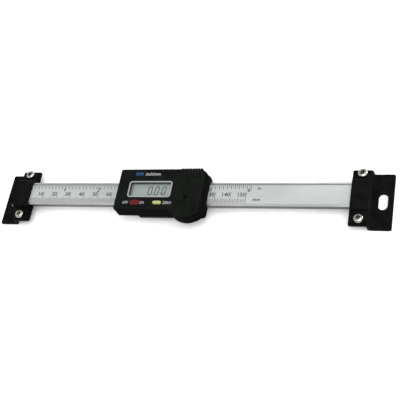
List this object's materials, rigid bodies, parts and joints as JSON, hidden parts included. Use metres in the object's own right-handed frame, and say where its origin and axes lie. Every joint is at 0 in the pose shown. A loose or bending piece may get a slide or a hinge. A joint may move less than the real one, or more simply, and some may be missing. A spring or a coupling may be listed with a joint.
{
  "type": "digital linear scale",
  "caption": "Digital linear scale: a steel ruler beam clamped in slotted black end feet, with a sliding reading head that carries a display, push buttons and a ribbed battery cover.",
  "frame": {"origin": "middle of the part's length and width, at the mounting plane under the two feet", "axes": "+X along the beam from its zero end, +Y across the beam towards the inch scale, +Z out of the ruler's face"},
  "size_m": [0.259, 0.0372, 0.0182],
  "materials": {
    "ground_steel": "ground stainless, satin",
    "silver_print": "silver-grey printed film",
    "etched_strip": "glass-epoxy strip with etched copper",
    "black_paint": "black satin paint on steel sheet",
    "black_plastic": "black moulded, fine satin texture",
    "bright_screw": "bright plated",
    "silver_trim": "silver trim, satin",
    "clear_lens": "clear, glossy",
    "lcd_grey": "grey-green display glass with its polariser",
    "green_board": "green solder resist",
    "resin": "black resin",
    "connector_rubber": "layered silicone",
    "pad_rubber": "soft silicone",
    "coin_steel": "bright nickel on steel",
    "spring_brass": "spring bronze, satin",
    "cast_metal": "plated steel, dull",
    "blue_plastic": "blue moulded",
    "red_plastic": "red moulded",
    "yellow_plastic": "pale yellow moulded"
  },
  "bodies": {
    "base": {"beam": "ground_steel", "scale_strip": "etched_strip", "ruler_film": "silver_print", "left_bracket": "black_paint", "right_bracket": "black_paint", "left_clamp_strap": "black_paint", "right_clamp_strap": "black_paint", "bracket_screw_left_upper": "bright_screw", "bracket_screw_left_lower": "bright_screw", "bracket_screw_right_upper": "bright_screw", "bracket_screw_right_lower": "bright_screw"},
    "head": {"front_housing": "black_plastic", "window_frame": "silver_trim", "window_lens": "clear_lens", "lcd_panel": "lcd_grey", "lcd_connector_upper": "connector_rubber", "lcd_connector_lower": "connector_rubber", "circuit_board": "green_board", "chip_blob": "resin", "unit_button_pad": "pad_rubber", "power_button_pad": "pad_rubber", "zero_button_pad": "pad_rubber", "coin_cell": "coin_steel", "battery_contact_negative": "spring_brass", "battery_contact_positive": "spring_brass", "carriage": "cast_metal", "gib_strip": "spring_brass", "gib_screw_left": "bright_screw", "gib_screw_right": "bright_screw", "rear_cover": "black_paint", "rear_screw_left_upper": "bright_screw", "rear_screw_left_lower": "bright_screw", "rear_screw_right_upper": "bright_screw", "rear_screw_right_lower": "bright_screw", "housing_screw_upper": "bright_screw", "housing_screw_lower": "bright_screw", "housing_screw_bay": "bright_screw"},
    "battery_cover": {"battery_cover": "black_plastic"},
    "unit_button": {"unit_button": "blue_plastic"},
    "power_button": {"power_button": "red_plastic"},
    "zero_button": {"zero_button": "yellow_plastic"}
  },
  "joints": [
    {"name": "head_slide", "type": "slide", "parent": "base", "child": "head", "axis": [1, 0, 0], "range_m": [-0.0661, 0.0869]},
    {"name": "battery_cover_slide", "type": "slide", "parent": "head", "child": "battery_cover", "axis": [1, 0, 0], "range_m": [0, 0.022]},
    {"name": "unit_button_press", "type": "slide", "parent": "head", "child": "unit_button", "axis": [0, 0, -1], "range_m": [0, 0.0004], "stiffness_N_per_m": 800, "springref_m": -0.0002},
    {"name": "power_button_press", "type": "slide", "parent": "head", "child": "power_button", "axis": [0, 0, -1], "range_m": [0, 0.0004], "stiffness_N_per_m": 800, "springref_m": -0.0002},
    {"name": "zero_button_press", "type": "slide", "parent": "head", "child": "zero_button", "axis": [0, 0, -1], "range_m": [0, 0.0004], "stiffness_N_per_m": 800, "springref_m": -0.0002}
  ]
}
